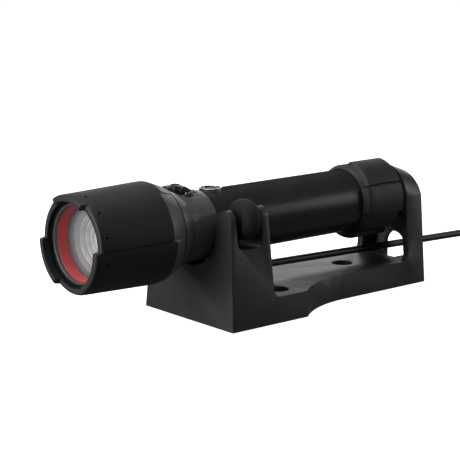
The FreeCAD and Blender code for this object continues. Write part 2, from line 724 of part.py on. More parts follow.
def grip_ring():
    """The rubber ring on the tail cap: two pairs of lugs, thinly parted, that stop the torch from rolling."""
    start, end, outside = size.grip_start, size.grip_end, size.grip_radius
    body = torch_turn("grip_ring", [
        (start, size.tube_radius + 0.5), (start + 1, size.tube_radius + 0.5), (start + 1, size.cap_radius),
        (end, size.cap_radius), (end, outside - 0.8), (end - 0.8, outside), (start + 2.6, outside)])
    short_lug = segment(body, lug_profile(start + 1.4), 49)
    spaced(body, short_lug, 2, 153.0)
    long_lug = segment(body, lug_profile(start + 3.6), 60, True)
    spaced(body, long_lug, 2, 153.0)
    sketch = new_sketch(body, "XZ_Plane")
    draw(sketch, [(start + 2.6, outside), (end, outside), (end, size.lug_radius + 2),
                  (start + 2.6, size.lug_radius + 2)])
    slit = feature(body, "Pocket", sketch, Length=Size.of(1.2), Midplane=True)
    spaced(body, slit, 2, 153.0)
    body.Placement.Rotation = FreeCAD.Rotation(Vector(1, 0, 0), 62)
    return body


keep("grip_ring", grip_ring())
keep("tail_spring", torch_turn("tail_spring", tube(size.battery_rear + 0.3, size.cap_floor - 1.4, 4.2, 6.0)))
keep("tail_contact", torch_turn("tail_contact", disc(size.cap_floor - 1.4, size.cap_floor, 12.5)))
keep("tail_oring", torch_turn("tail_oring", tube(110, 111.6, 14.6, 15.42)))


# ---- the supply lead ------------------------------------------------------------------------------

COIL = (size.coil_along, -size.coil_radius)
LEAD_ROUTE = [(48, 0, 21.4), (208, 0, 17.3), (222, 0.8, 16.4), (236, 3.0, 13.4), (248, 4.0, 11.2)]


def lead_wire(points):
    """Straight runs through the points, joined by arcs as large as the runs on both sides allow."""
    pieces = []
    start = points[0]
    for before, corner, after in zip(points, points[1:], points[2:]):
        arrive, leave = (corner - before), (after - corner)
        half_turn = arrive.getAngle(leave) / 2
        reach = 0.45 * min(arrive.Length, leave.Length)
        radius = reach / math.tan(half_turn)
        print(f"lead bend at {corner.x:.0f}: radius {radius:.0f} mm")
        arrive, leave = arrive.normalize(), leave.normalize()
        inward = (leave - arrive).normalize()
        middle = corner + inward * (radius / math.cos(half_turn) - radius)
        begin, end = corner - arrive * reach, corner + leave * reach
        pieces.append(Part.LineSegment(start, begin).toShape())
        pieces.append(Part.Arc(begin, middle, end).toShape())
        start = end
    pieces.append(Part.LineSegment(start, points[-1]).toShape())
    return Part.Wire(pieces)


def lead_tube():
    """The lead from the gland to the coil, dead straight over the cradle and then down to the coil."""
    points = [Vector(FRONT.value + across, side, up) for across, side, up in LEAD_ROUTE]
    wire = lead_wire(points)
    radius = SIZES["lead_radius"]
    ring = Part.Wire(Part.Circle(points[0], points[1] - points[0], radius).toShape())
    item = doc.addObject("Part::Feature", "lead")
    item.Shape = wire.makePipeShell([ring], True, False)
    print(f"lead: {wire.Length:.1f} mm, volume / (section x length) "
          f"{item.Shape.Volume / (wire.Length * math.pi * radius * radius):.4f}")
    return item


keep("cord_lead", lead_tube())

coil = new_body("cord_coil")
inner, outer = size.coil_radius - size.coil_half_width, size.coil_radius + size.coil_half_width
base, top = Size.of(0.8), 0.8 + size.coil_height
sketch = new_sketch(coil, "XZ_Plane")
corner = Size.of(3)
draw(sketch, [(inner + 3, base), (outer - 3, base, corner), (outer, base + 3), (outer, top - 3, corner),
              (outer - 3, top), (inner + 3, top, corner), (inner, top - 3), (inner, base + 3, corner)])
feature(coil, "Revolution", sketch, ReferenceAxis=(sketch, ["V_Axis"]), Angle=360.0)
keep("cord_coil", place(coil, COIL[0], COIL[1]))

band = cut(box(0, 0, 0, 7, 2 * size.coil_half_width + 2, size.coil_height + 1.6),
           box(-1, 1, 0.8, 9, 2 * size.coil_half_width, size.coil_height))
for part in (band.Base, band.Tool):
    part.setExpression("Placement.Base.x", (FRONT + COIL[0] - 3.5 - (1 if part is band.Tool else 0)).formula)
    shift = COIL[1] - size.coil_radius - size.coil_half_width - (0 if part is band.Tool else 1)
    part.setExpression("Placement.Base.y", shift.formula)
keep("cord_tie", band)

PLUG_SIDE = COIL[1] - size.coil_radius - 4
grip = new_body("plug_grip")
outline = [(236, -2.2), (240, -2.2), (240, 2.2), (236, 2.2), (226, 4.2, Size.of(-30)), (226, 6.8),
           (207, 6.8), (207, -6.8), (226, -6.8), (226, -4.2, Size.of(-30))]
pad(grip, "XY_Plane", outline, 8.0)
keep("plug_grip", place(grip, 0, PLUG_SIDE, 0))
shell = cut(box(188.5, PLUG_SIDE - 6, 1.75, 18.5, 12, 4.5), box(188, PLUG_SIDE - 5.6, 2.1, 12.5, 11.2, 3.8))
keep("plug_shell", shell)
keep("plug_tongue", box(189, PLUG_SIDE - 5.6, 4.0, 11.5, 11.2, 1.9))


# ---- checking and writing -------------------------------------------------------------------------

doc.recompute()
for item in doc.Objects:
    if "Invalid" in item.State or "Error" in item.State:
        raise RuntimeError(f"{item.Label} ({item.Name}) failed: {item.State}")
os.makedirs("parts", exist_ok=True)
for label, item in nodes.items():
    if item.Shape.isNull() or not item.Shape.isValid():
        raise RuntimeError(f"{label} has no valid shape")
    if item.Shape.Volume <= 0 or not item.Shape.Solids:
        raise RuntimeError(f"{label} is not solid")
for label, item in nodes.items():
    item.Shape.exportStep(f"parts/{label}.step")
    print(f"{label}: {len(item.Shape.Solids)} solid, {item.Shape.Volume:.0f} mm3")
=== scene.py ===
"""Surfaces and finishes for a hand torch lying in its charging cradle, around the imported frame."""
import math

import bmesh
import bpy
import numpy as np
from bpy.props import FloatProperty, FloatVectorProperty, IntProperty
from mathutils import Matrix, Vector


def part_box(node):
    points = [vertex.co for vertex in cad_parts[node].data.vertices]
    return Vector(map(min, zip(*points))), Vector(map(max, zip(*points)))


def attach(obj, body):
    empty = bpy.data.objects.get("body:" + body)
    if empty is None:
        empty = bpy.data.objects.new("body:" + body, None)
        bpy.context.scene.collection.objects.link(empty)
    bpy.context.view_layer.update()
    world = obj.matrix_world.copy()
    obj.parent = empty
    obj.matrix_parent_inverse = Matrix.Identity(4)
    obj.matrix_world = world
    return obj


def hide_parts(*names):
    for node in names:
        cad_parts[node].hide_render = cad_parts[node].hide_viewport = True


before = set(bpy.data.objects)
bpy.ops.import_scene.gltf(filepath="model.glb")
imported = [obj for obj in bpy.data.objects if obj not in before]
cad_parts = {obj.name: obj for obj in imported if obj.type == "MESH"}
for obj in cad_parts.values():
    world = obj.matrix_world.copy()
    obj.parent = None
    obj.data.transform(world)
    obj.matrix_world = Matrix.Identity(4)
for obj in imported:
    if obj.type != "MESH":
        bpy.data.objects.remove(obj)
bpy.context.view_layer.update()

bl_info = {
    "name": "Torch in Cradle",
    "version": (1, 0, 0),
    "blender": (4, 5, 0),
    "location": "View3D > Sidebar > Torch",
    "description": "Builds the surfaces and finishes of a hand torch in its charging cradle",
    "category": "Object",
}

MM = 0.001
TURN = 2.0 * math.pi
LENS_RADIUS = 17.0


def node_box(node):
    """A CAD node's lowest and highest corners, as two arrays in metres."""
    low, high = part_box(node)
    return np.array(low), np.array(high)


TUBE_LOW, TUBE_HIGH = node_box("battery_tube")
AXIS_Z = 0.5 * (TUBE_LOW[2] + TUBE_HIGH[2])
TUBE_RADIUS = 0.5 * (TUBE_HIGH[2] - TUBE_LOW[2])
FRONT_X = node_box("cradle_shell")[0][0]


def along(distance):
    """The x of a place that is so many millimetres behind the cradle's front edge."""
    return FRONT_X + distance * MM


# ---- shader maths ---------------------------------------------------------------------------------

class Value:
    """A shader socket that takes part in Python sums, each of which adds a Math node."""

    def __init__(self, net, socket):
        self.net = net
        self.socket = socket

    def math(self, operation, *others, swap=False):
        items = [self, *others]
        if swap:
            items.reverse()
        node = self.net.tree.nodes.new("ShaderNodeMath")
        node.operation = operation
        for slot, item in zip(node.inputs, items):
            self.net.feed(slot, item)
        return Value(self.net, node.outputs[0])

    def __add__(self, other):
        return self.math("ADD", other)

    __radd__ = __add__

    def __sub__(self, other):
        return self.math("SUBTRACT", other)

    def __rsub__(self, other):
        return self.math("SUBTRACT", other, swap=True)

    def __mul__(self, other):
        return self.math("MULTIPLY", other)

    __rmul__ = __mul__

    def __truediv__(self, other):
        return self.math("DIVIDE", other)

    def sine(self):
        return self.math("SINE")

    def clamped(self):
        node = self.net.node("ShaderNodeClamp", Value=self)
        return node.out("Result")


class Net:
    """A material's node tree, with one method that adds any node."""

    def __init__(self, name):
        self.material = bpy.data.materials.new(name)
        self.material.use_nodes = True
        self.tree = self.material.node_tree
        self.tree.nodes.clear()
        self.output = self.tree.nodes.new("ShaderNodeOutputMaterial")

    def feed(self, slot, item):
        """Set a socket's value or link it."""
        if isinstance(item, Value):
            self.tree.links.new(item.socket, slot)
        elif isinstance(item, (tuple, list)) and len(item) == 3 and slot.type == "RGBA":
            slot.default_value = (*item, 1.0)
        else:
            slot.default_value = item

    def node(self, kind, settings=(), **sockets):
        """Add a node, set its own settings first and then its sockets by name."""
        made = self.tree.nodes.new(kind)
        for name, setting in dict(settings).items():
            setattr(made, name, setting)
        for name, item in sockets.items():
            self.feed(made.inputs[name.replace("_", " ")], item)
        return Made(self, made)

    def place(self):
        """Object coordinates, in metres."""
        return self.node("ShaderNodeTexCoord").out("Object")

    def parts(self, vector):
        """A vector's three numbers."""
        split = self.node("ShaderNodeSeparateXYZ", Vector=vector)
        return split.out("X"), split.out("Y"), split.out("Z")

    def noise(self, scale, detail=3.0, rough=0.5, vector=None):
        """Noise from 0 to 1 at a scale in features per metre."""
        vector = self.place() if vector is None else vector
        made = self.node("ShaderNodeTexNoise", Vector=vector, Scale=scale, Detail=detail, Roughness=rough)
        return made.out("Fac")

    def ramp(self, fac, *stops):
        """A colour ramp through (place, colour) stops."""
        made = self.node("ShaderNodeValToRGB", Fac=fac)
        elements = made.made.color_ramp.elements
        while len(elements) < len(stops):
            elements.new(0.5)
        for element, (spot, colour) in zip(elements, stops):
            element.position = spot
            element.color = (*colour, 1.0)
        return made.out("Color")

    def blend(self, fac, first, second):
        """A mix of two colours."""
        made = self.node("ShaderNodeMix", {"data_type": "RGBA"})
        self.feed(made.made.inputs[0], fac)
        self.feed(made.made.inputs[6], first)
        self.feed(made.made.inputs[7], second)
        return Value(self, made.made.outputs[2])

    def bump(self, height, strength, distance):
        """A bump normal from a height."""
        made = self.node("ShaderNodeBump", Height=height, Strength=strength, Distance=distance)
        return made.out("Normal")

    def finish(self, **sockets):
        """Close the tree with a Principled shader."""
        shader = self.node("ShaderNodeBsdfPrincipled", **sockets)
        self.tree.links.new(shader.made.outputs[0], self.output.inputs[0])
        return self.material


class Made:
    """A node that was added, whose outputs are read by name."""

    def __init__(self, net, made):
        self.net = net
        self.made = made

    def out(self, name):
        return Value(self.net, self.made.outputs[name])


# ---- finishes -------------------------------------------------------------------------------------

def moulded(name, colour, rough=0.5, grain=9000.0, depth=0.00004, worn=1.35):
    """Moulded plastic or rubber: a fine spark texture, faint cloudy colour and a softly uneven sheen."""
    net = Net(name)
    cloud = net.noise(60.0, 4.0, 0.6)
    fine = net.noise(grain, 2.0, 0.5)
    light = tuple(channel * worn for channel in colour)
    tint = net.ramp(cloud, (0.35, colour), (0.75, light))
    sheen = (net.noise(140.0, 3.0) - 0.5) * 0.16 + rough
    return net.finish(Base_Color=tint, Roughness=sheen.clamped(), Normal=net.bump(fine, 0.35, depth))


def anodised(name, colour, rough=0.36, metal=0.75):
    """Hard-anodised metal with very fine turning lines round the torch's axis."""
    net = Net(name)
    x, _, _ = net.parts(net.place())
    lines = (x * 42000.0).sine() * 0.5 + 0.5
    cloud = net.noise(90.0, 4.0, 0.6)
    tint = net.ramp(cloud, (0.3, colour), (0.8, tuple(channel * 1.3 for channel in colour)))
    sheen = (cloud - 0.5) * 0.14 + rough
    return net.finish(Base_Color=tint, Metallic=metal, Roughness=sheen.clamped(),
                      Normal=net.bump(lines, 0.1, 0.00002))


def bright(name, colour, rough=0.18):
    """Polished or plated metal with light handling haze."""
    net = Net(name)
    haze = net.noise(420.0, 5.0, 0.65)
    tint = net.ramp(haze, (0.3, tuple(channel * 0.82 for channel in colour)), (0.7, colour))
    sheen = (haze - 0.5) * 0.2 + rough
    return net.finish(Base_Color=tint, Metallic=1.0, Roughness=sheen.clamped(),
                      Normal=net.bump(haze, 0.06, 0.00003))


def glassy(name, colour, rough, alpha):
    """Clear glass with a faint smear."""
    net = Net(name)
    smear = net.noise(120.0, 4.0, 0.6)
    return net.finish(Base_Color=colour, Roughness=smear * 0.05 + rough, Alpha=alpha, IOR=1.5)


def stepped_lens(name):
    """A stepped lens with painted reflections of its bright cup: rings of light and dark grey by distance
    from the axis, yellow at the middle, darkened in noise blotches as painted shade.
    """
    net = Net(name)
    _, y, z = net.parts(net.place())
    rise = z - float(AXIS_Z)
    reach = (y * y + rise * rise).math("SQRT") / float(LENS_RADIUS * MM)
    # Painted reflections: light and dark grey rings laid into the base colour by distance from the axis. The
    # yellow middle is the emitter's own colour.
    rings = net.ramp(reach, (0.0, (0.80, 0.60, 0.06)), (0.055, (0.80, 0.60, 0.06)),
                     (0.075, (0.86, 0.86, 0.84)), (0.40, (0.80, 0.80, 0.80)),
                     (0.44, (0.22, 0.22, 0.22)), (0.48, (0.75, 0.75, 0.75)),
                     (0.60, (0.36, 0.36, 0.37)), (0.64, (0.80, 0.80, 0.80)), (0.68, (0.30, 0.30, 0.31)),
                     (0.80, (0.62, 0.62, 0.62)), (0.84, (0.20, 0.20, 0.20)), (0.90, (0.30, 0.30, 0.31)),
                     (1.0, (0.12, 0.12, 0.12)))
    # Painted shade: noise blotches pull the rings towards dark grey.
    painted_shade = net.noise(160.0, 2.0)
    tint = net.blend((painted_shade - 0.4) * 1.6, rings, (0.16, 0.16, 0.17))
    return net.finish(Base_Color=tint, Roughness=0.14, Coat_Weight=0.6)


def board(name):
    """Green circuit board with faint copper tracks."""
    net = Net(name)
    x, y, _ = net.parts(net.place())
    tracks = ((x * 2600.0).sine() + (y * 2600.0).sine()).math("GREATER_THAN", 1.1)
    tint = net.blend(tracks, (0.02, 0.12, 0.05), (0.05, 0.22, 0.09))
    return net.finish(Base_Color=tint, Roughness=0.4)


def woven(name, colour):
    """A woven hook-tape strap."""
    net = Net(name)
    x, y, z = net.parts(net.place())
    weave = (x * 9000.0).sine() * ((y + z) * 9000.0).sine() * 0.5 + 0.5
    tint = net.blend(weave, tuple(channel * 0.5 for channel in colour), colour)
    return net.finish(Base_Color=tint, Roughness=0.9, Normal=net.bump(weave, 0.5, 0.0002))


FINISHES = {}


def finish(name):
    """A finish by name, made once."""
    makers = {
        "cradle": lambda: moulded("cradle_moulding", (0.036, 0.036, 0.037), 0.4),
        "bumper": lambda: moulded("bumper_rubber", (0.006, 0.006, 0.0065), 0.62, 7000.0, 0.00006),
        "bumper_rim": lambda: moulded("bumper_rim", (0.028, 0.028, 0.028), 0.55),
        # Lighter grey for the bumper's rear chamfer: a painted highlight where the chamfer catches the light.
        "bumper_band_painted_highlight": lambda: moulded("bumper_band_painted_highlight", (0.085, 0.085, 0.086), 0.42),
        "grip": lambda: moulded("grip_rubber", (0.018, 0.018, 0.019), 0.55, 7000.0, 0.00006),
        "tyre": lambda: moulded("roller_rubber", (0.003, 0.003, 0.0035), 0.75),
        "black": lambda: moulded("black_plastic", (0.0025, 0.0025, 0.0028), 0.75),
        "button": lambda: moulded("button_rubber", (0.010, 0.010, 0.011), 0.34),
        "knob": lambda: moulded("knob_plastic", (0.045, 0.045, 0.047), 0.4),
        "lead": lambda: moulded("lead_rubber", (0.020, 0.020, 0.021), 0.4, 5000.0),
        "tube": lambda: anodised("tube_metal", (0.036, 0.036, 0.037), 0.3, 0.4),
        "neck": lambda: anodised("neck_metal", (0.15, 0.15, 0.152), 0.34, 0.45),
        "dark_metal": lambda: anodised("dark_metal", (0.02, 0.02, 0.021), 0.42),
        "aluminium": lambda: bright("bare_aluminium", (0.75, 0.75, 0.76), 0.3),
        "steel": lambda: bright("plated_steel", (0.60, 0.60, 0.62), 0.25),
        "polished": lambda: bright("polished_metal", (0.36, 0.36, 0.37), 0.2),
        "gilt": lambda: bright("gilt", (0.85, 0.58, 0.20), 0.2),
        "cell": lambda: moulded("cell_wrap", (0.02, 0.05, 0.16), 0.25),
        "board": lambda: board("circuit_board"),
        "red": lambda: moulded("red_plastic", (0.62, 0.085, 0.09), 0.3, 3000.0, 0.00002),
        "glass": lambda: glassy("clear_glass", (0.95, 0.97, 0.97), 0.02, 0.12),
        # The lens finish paints the cup's reflections and patches of shade into its base colour.
        "lens": lambda: stepped_lens("lens_painted_reflections"),
        "emitter": lambda: moulded("emitter_yellow", (0.9, 0.66, 0.08), 0.3),
        "tie": lambda: woven("tie_fabric", (0.02, 0.02, 0.022)),
    }
    if name not in FINISHES:
        FINISHES[name] = makers[name]()
    return FINISHES[name]


# ---- surfaces -------------------------------------------------------------------------------------

def new_piece(name, body, material):
    """An empty mesh object at the origin that rides on a body."""
    mesh = bpy.data.meshes.new(name)
    piece = bpy.data.objects.new(name, mesh)
    bpy.context.scene.collection.objects.link(piece)
    mesh.materials.append(finish(material))
    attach(piece, body)
    return piece


def grid_faces(rows, columns, wrap_rows, wrap_columns):
    """The quads between neighbouring rows and columns of a grid of points, as an (n, 4) array."""
    i = np.arange(rows if wrap_rows else rows - 1)[:, None]
    j = np.arange(columns if wrap_columns else columns - 1)[None, :]
    i, j = np.broadcast_arrays(i, j)
    ahead, beside = (i + 1) % rows, (j + 1) % columns
    quads = [i * columns + j, i * columns + beside, ahead * columns + beside, ahead * columns + j]
    return np.stack(quads, axis=-1).reshape(-1, 4)


def fill(piece, points, faces):
    """Put points and equal-sided faces into a piece's mesh as whole arrays, shaded smooth."""
    mesh = piece.data
    points = np.asarray(points, dtype=np.float32).reshape(-1, 3)
    faces = np.asarray(faces, dtype=np.int32)
    sides = faces.shape[1]
    mesh.vertices.add(len(points))
    mesh.vertices.foreach_set("co", points.ravel())
    mesh.loops.add(faces.size)
    mesh.loops.foreach_set("vertex_index", faces.ravel())
    mesh.polygons.add(len(faces))
    mesh.polygons.foreach_set("loop_start", np.arange(len(faces), dtype=np.int32) * sides)
    mesh.polygons.foreach_set("use_smooth", np.full(len(faces), True))
    mesh.update(calc_edges=True)
    mesh.validate()
    return piece


def outward(piece):
    """Merge doubled points and turn every face outwards."""
    work = bmesh.new()
    work.from_mesh(piece.data)
    bmesh.ops.remove_doubles(work, verts=work.verts, dist=1e-7)
    bmesh.ops.recalc_face_normals(work, faces=work.faces)
    work.to_mesh(piece.data)
    work.free()
    return piece


def close_ends(piece):
    """Fill a mesh's open ends and turn every face outwards."""
    work = bmesh.new()
    work.from_mesh(piece.data)
    bmesh.ops.holes_fill(work, edges=work.edges, sides=0)
    bmesh.ops.recalc_face_normals(work, faces=work.faces)
    work.to_mesh(piece.data)
    work.free()


def sharpen(piece, degrees=35.0):
    """Smooth shading with creases where faces meet at more than an angle."""
    piece.data.set_sharp_from_angle(angle=math.radians(degrees))
    return piece


def turned_points(profile, turns):
    """Rings about the torch's axis: (x, r) at each angle a is (x, -r sin a, axis + r cos a)."""
    profile = np.asarray(profile)
    angle = np.arange(turns) * TURN / turns
    x = np.broadcast_to(profile[:, 0:1], (len(profile), turns))
    y = -profile[:, 1:2] * np.sin(angle)
    z = AXIS_Z + profile[:, 1:2] * np.cos(angle)
    return np.stack([x, y, z], axis=-1)


def rounded(corners, radius, steps=4):
    """An outline with each corner replaced by an arc of a radius, or less where a side is short.

    The arc starts and ends at radius / tan(half the corner) from the corner."""
    corners = [np.asarray(corner, dtype=float) for corner in corners]
    outline = []
    for number, corner in enumerate(corners):
        before, after = corners[number - 1] - corner, corners[(number + 1) % len(corners)] - corner
        long_before, long_after = np.linalg.norm(before), np.linalg.norm(after)
        before, after = before / long_before, after / long_after
        half = 0.5 * math.acos(float(np.clip(before @ after, -1, 1)))
        if half > 1.5:
            outline.append(corner)
            continue
        reach = min(radius / math.tan(half), 0.45 * long_before, 0.45 * long_after)
        bend = reach * math.tan(half)
        middle = (before + after) / np.linalg.norm(before + after)
        centre = corner + middle * bend / math.sin(half)
        start, end = corner + before * reach - centre, corner + after * reach - centre
        sweep = math.acos(float(np.clip(start @ end / (bend * bend), -1, 1)))
        for step in range(steps + 1):
            part = step / steps
            outline.append(centre + (math.sin((1 - part) * sweep) * start + math.sin(part * sweep) * end)
                           / math.sin(sweep))
    return np.array(outline)


def turned(name, body, material, corners, radius=0.3, turns=128, replaces=()):
    """A ring turned from a closed outline of (along, radius) corners in millimetres, its edges rounded."""
    outline = rounded(corners, radius) * MM
    outline[:, 0] += FRONT_X
    piece = new_piece(name, body, material)
    points = turned_points(outline, turns)
    fill(piece, points, grid_faces(len(outline), turns, True, True))
    outward(piece)
    sharpen(piece)
    if replaces:
        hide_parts(*replaces)
    return piece


def softened(name, node, body, material, width=0.5, segments=3, degrees=30.0):
    """A copy of a CAD node whose sharp edges carry a small round, in millimetres."""
    piece = new_piece(name, body, material)
    work = bmesh.new()
    work.from_mesh(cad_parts[node].data)
    bmesh.ops.remove_doubles(work, verts=work.verts, dist=2e-6)
    bmesh.ops.dissolve_limit(work, angle_limit=math.radians(0.5), verts=work.verts, edges=work.edges)
    work.to_mesh(piece.data)
    work.free()
    piece.data.polygons.foreach_set("use_smooth", np.ones(len(piece.data.polygons), dtype=bool))
    bevel = piece.modifiers.new("edges", "BEVEL")
    bevel.width = width * MM
    bevel.segments = segments
    bevel.limit_method = "ANGLE"
    bevel.angle_limit = math.radians(degrees)
    bevel.harden_normals = True
    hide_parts(node)
    return piece


def smooth_step(amount):
    """0 below 0, 1 above 1 and 3t^2 - 2t^3 between."""
    amount = np.clip(amount, 0.0, 1.0)
    return amount * amount * (3.0 - 2.0 * amount)


def from_top(angle, centre):
    """The signed turn from one angle to another, within half a turn each way."""
    return (angle - centre + math.pi) % TURN - math.pi


def ring_piece(name, body, slot, material, stations, radii, angle, bands=()):
    """A closed ring about the torch's axis from (rows, columns) arrays of x and radius.

    Each band (finish, first row, last row) gives its rows a finish of their own."""
    piece = new_piece(name, body, material)
    points = np.stack([stations, -radii * np.sin(angle), AXIS_Z + radii * np.cos(angle)], axis=-1)
    fill(piece, points, grid_faces(*radii.shape, True, True))
    index = np.zeros(radii.shape, dtype=np.int32)
    for number, (other, first, last) in enumerate(bands, start=1):
        piece.data.materials.append(finish(other))
        index[first:last] = number
    piece.data.polygons.foreach_set("material_index", index.ravel())
    outward(piece)
    sharpen(piece, 38.0)
    return piece


def upright(name, body, material, corners, centre, radius=0.3, turns=64, replaces=()):
    """A cap turned about a vertical line from an outline of (radius, height) corners in millimetres.

    The outline starts and ends on the line; heights are counted from the torch's axis."""
    outline = rounded(corners, radius)
    outline = outline[outline[:, 0] >= 0] * MM
    start = int(np.argmin(outline[:, 0] + outline[:, 1] * 1e-3))
    outline = np.roll(outline, -start, axis=0)
    angle = np.arange(turns) * TURN / turns
    x = centre[0] + outline[:, 0:1] * np.cos(angle)
    y = centre[1] + outline[:, 0:1] * np.sin(angle)
    z = np.broadcast_to(AXIS_Z + outline[:, 1:2], x.shape)
    piece = new_piece(name, body, material)
    fill(piece, np.stack([x, y, z], axis=-1), grid_faces(len(outline), turns, True, True))
    outward(piece)
    sharpen(piece)
    if replaces:
        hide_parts(*replaces)
    return piece


def dome_pad(name, body, material, outline, half_width, crown=0.35):
    """A soft button: its side view carried across its width, narrowing and dropping towards both sides.

    At a side fraction s the outline is drawn in by crown (1 - sqrt(1 - s^4)) towards its middle."""
    outline = rounded(outline, 1.1, 6) * MM
    outline[:, 0] += FRONT_X
    outline[:, 1] += AXIS_Z
    middle = outline.mean(axis=0)
    spread = np.sin(np.linspace(-0.5 * math.pi, 0.5 * math.pi, 25))
    shrink = 1.0 - crown * (1.0 - np.sqrt(np.clip(1.0 - spread ** 4, 0.0, 1.0)))
    shape = middle + (outline[None, :, :] - middle) * shrink[:, None, None]
    y = np.broadcast_to((spread * half_width * MM)[:, None], shape.shape[:2])
    points = np.stack([shape[..., 0], y, shape[..., 1]], axis=-1)
    rows, columns = points.shape[:2]
    piece = new_piece(name, body, material)
    fill(piece, points, grid_faces(rows, columns, False, True))
    close_ends(piece)
    sharpen(piece, 50.0)
    return piece


# ---- sizes that a user would change ---------------------------------------------------------------

class TorchSizes(bpy.types.PropertyGroup):
    """Sizes of the torch's surfaces."""

    lobe_height: FloatProperty(name="Lobe height", description="How far the rim's lobes stand out",
                               default=3.0 * MM, unit="LENGTH")
    dimple: FloatProperty(name="Dimple radius", description="Radius of the small holes round the rim",
                          default=0.8 * MM, unit="LENGTH")
    knurl_pitch: FloatProperty(name="Knurl pitch", description="Distance between the grip's points",
                               default=0.8 * MM, unit="LENGTH")
    knurl_depth: FloatProperty(name="Knurl depth", description="Depth of the grip's pattern",
                               default=0.2 * MM, unit="LENGTH")
    lens_rings: IntProperty(name="Lens rings", description="Number of steps moulded into the lens", default=7)


class CradleSizes(bpy.types.PropertyGroup):
    """Sizes of the cradle's and the lead's surfaces."""

    edge_round: FloatProperty(name="Edge round", description="Round on the cradle's edges",
                              default=0.8 * MM, unit="LENGTH")
    lead_diameter: FloatProperty(name="Lead diameter", description="Diameter of the supply lead",
                                 default=4.0 * MM, unit="LENGTH")


class StageSizes(bpy.types.PropertyGroup):
    """The floor and the soft lights."""

    floor_colour: FloatVectorProperty(name="Floor colour", description="Colour of the floor", size=3,
                                      subtype="COLOR", default=(0.9, 0.9, 0.9))
    key_power: FloatProperty(name="Key power", description="Strength of the overhead light", default=5.0)


# ---- the torch ------------------------------------------------------------------------------------

LOBE_TURNS = (0.0, TURN / 3, 2 * TURN / 3)
GROOVE_TURNS = (TURN / 4, TURN / 4 + TURN / 3, TURN / 4 + 2 * TURN / 3)
RIM = -70.6
RIM_OUTER = 24.8
SHOULDER = -28.5
SHOULDER_RADIUS = 26.0
COVER_END = -18.6


def bumper_surface(sizes):
    """The head's cover.

    A closed outline round the wall is carried round the axis. The front of the outline slides
    forwards by the lobe height where the turn from a lobe's middle is under 30 degrees, and the
    shoulder slides back there by two thirds of it. The outside sinks along three thin lines beside
    the lobes and at a ring of small round dimples."""
    columns = 720
    angle = np.arange(columns) * TURN / columns
    near = np.min([np.abs(from_top(angle, middle)) for middle in LOBE_TURNS], axis=0)
    edge = (math.radians(30.0) - near) * RIM_OUTER
    lobe = smooth_step(edge / 0.9 + 0.5)
    rise = lobe * sizes.lobe_height / MM
    barrel = np.concatenate([np.linspace(RIM + 1.9, -68.0, 3), np.linspace(-67.8, -65.2, 12),
                             np.linspace(-64.5, -29.6, 30)])
    slope = (SHOULDER_RADIUS - RIM_OUTER) / (SHOULDER - RIM)
    rows = [(COVER_END, 22.45, 0), (COVER_END, 22.85, 0), (COVER_END - 0.35, 23.2, 0), (-27.1, 25.55, -0.66),
            (-28.1, 25.92, -0.66), (-28.6, 26.0, -0.66)]
    rows += [(x, RIM_OUTER + slope * (x - RIM), 0) for x in barrel[::-1]]
    front = [(1.2, -0.05), (0.62, -0.30), (0.28, -0.62), (0.06, -0.98), (0.0, -1.25), (0.0, -3.0),
             (0.05, -3.25), (0.3, -3.4), (1.0, -3.42)]
    rows += [(RIM + ahead, RIM_OUTER + drop, 1) for ahead, drop in front]
    rows += [(-68.7, 21.38, 0), (-68.6, 21.5, 0), (-68.6, 22.45, 0)]
    rows = np.array(rows)
    x = rows[:, 0:1] - rise * rows[:, 2:3]
    radius = np.broadcast_to(rows[:, 1:2], x.shape).copy()
    outside = (rows[:, 0] > RIM + 1.5) & (rows[:, 0] < -28.8) & (rows[:, 1] > 24.0)
    gap = np.min([np.abs(from_top(angle, groove)) for groove in GROOVE_TURNS], axis=0) * RIM_OUTER
    radius -= outside[:, None] * 0.5 * (1.0 - smooth_step((gap - 0.12) / 0.28))
    centres = math.radians(15.0) + np.arange(12) * TURN / 12
    sideways = np.min([np.abs(from_top(angle, centre)) for centre in centres], axis=0) * RIM_OUTER
    reach = np.hypot(rows[:, 0:1] + 66.5, sideways[None, :]) / (sizes.dimple / MM)
    radius -= outside[:, None] * 0.8 * (1.0 - smooth_step((reach - 0.75) / 0.3))
    rim = len(rows) - 3 - len(front)
    # Rows 2 to 3, the rear chamfer, take the lighter grey finish as a painted highlight; the front rows take
    # the rim finish and the inner rows black.
    bands = (("bumper_band_painted_highlight", 2, 4), ("bumper_rim", rim + 1, rim + 6), ("black", rim + 6, len(rows)))
    return (FRONT_X + x * MM, radius * MM, angle), bands


def knurl_surface(sizes):
    """The grip's diamond knurl: an egg-crate whose points and hollows alternate along both ways."""
    columns = int(round(TURN * TUBE_RADIUS / sizes.knurl_pitch)) * 2
    angle = np.arange(columns) * TURN / columns
    rows = 2 * int(round(101.2 * MM / sizes.knurl_pitch))
    share = np.linspace(0.0, 1.0, rows)[:, None]
    under = 1.0 - smooth_step((np.abs(from_top(angle, math.pi)) - 0.48) / 0.1)
    start = 6.7 + 6.5 * under
    x = start + (107.9 - start) * share
    crest = (np.arange(rows)[:, None] + np.arange(columns)[None, :]) % 2
    depth = sizes.knurl_depth / MM
    radius = TUBE_RADIUS / MM + 0.05 + depth * (crest - 0.5)
    inner = TUBE_RADIUS / MM - 0.6
    x = np.vstack([x[:1], x, x[-1:]])
    radius = np.vstack([np.full((1, columns), inner), radius, np.full((1, columns), inner)])
    return FRONT_X + x * MM, radius * MM, angle


LUG_TURNS = (math.radians(62.0), math.radians(215.0))
LUG_RADIUS = 21.6
RING_RADIUS = 19.5


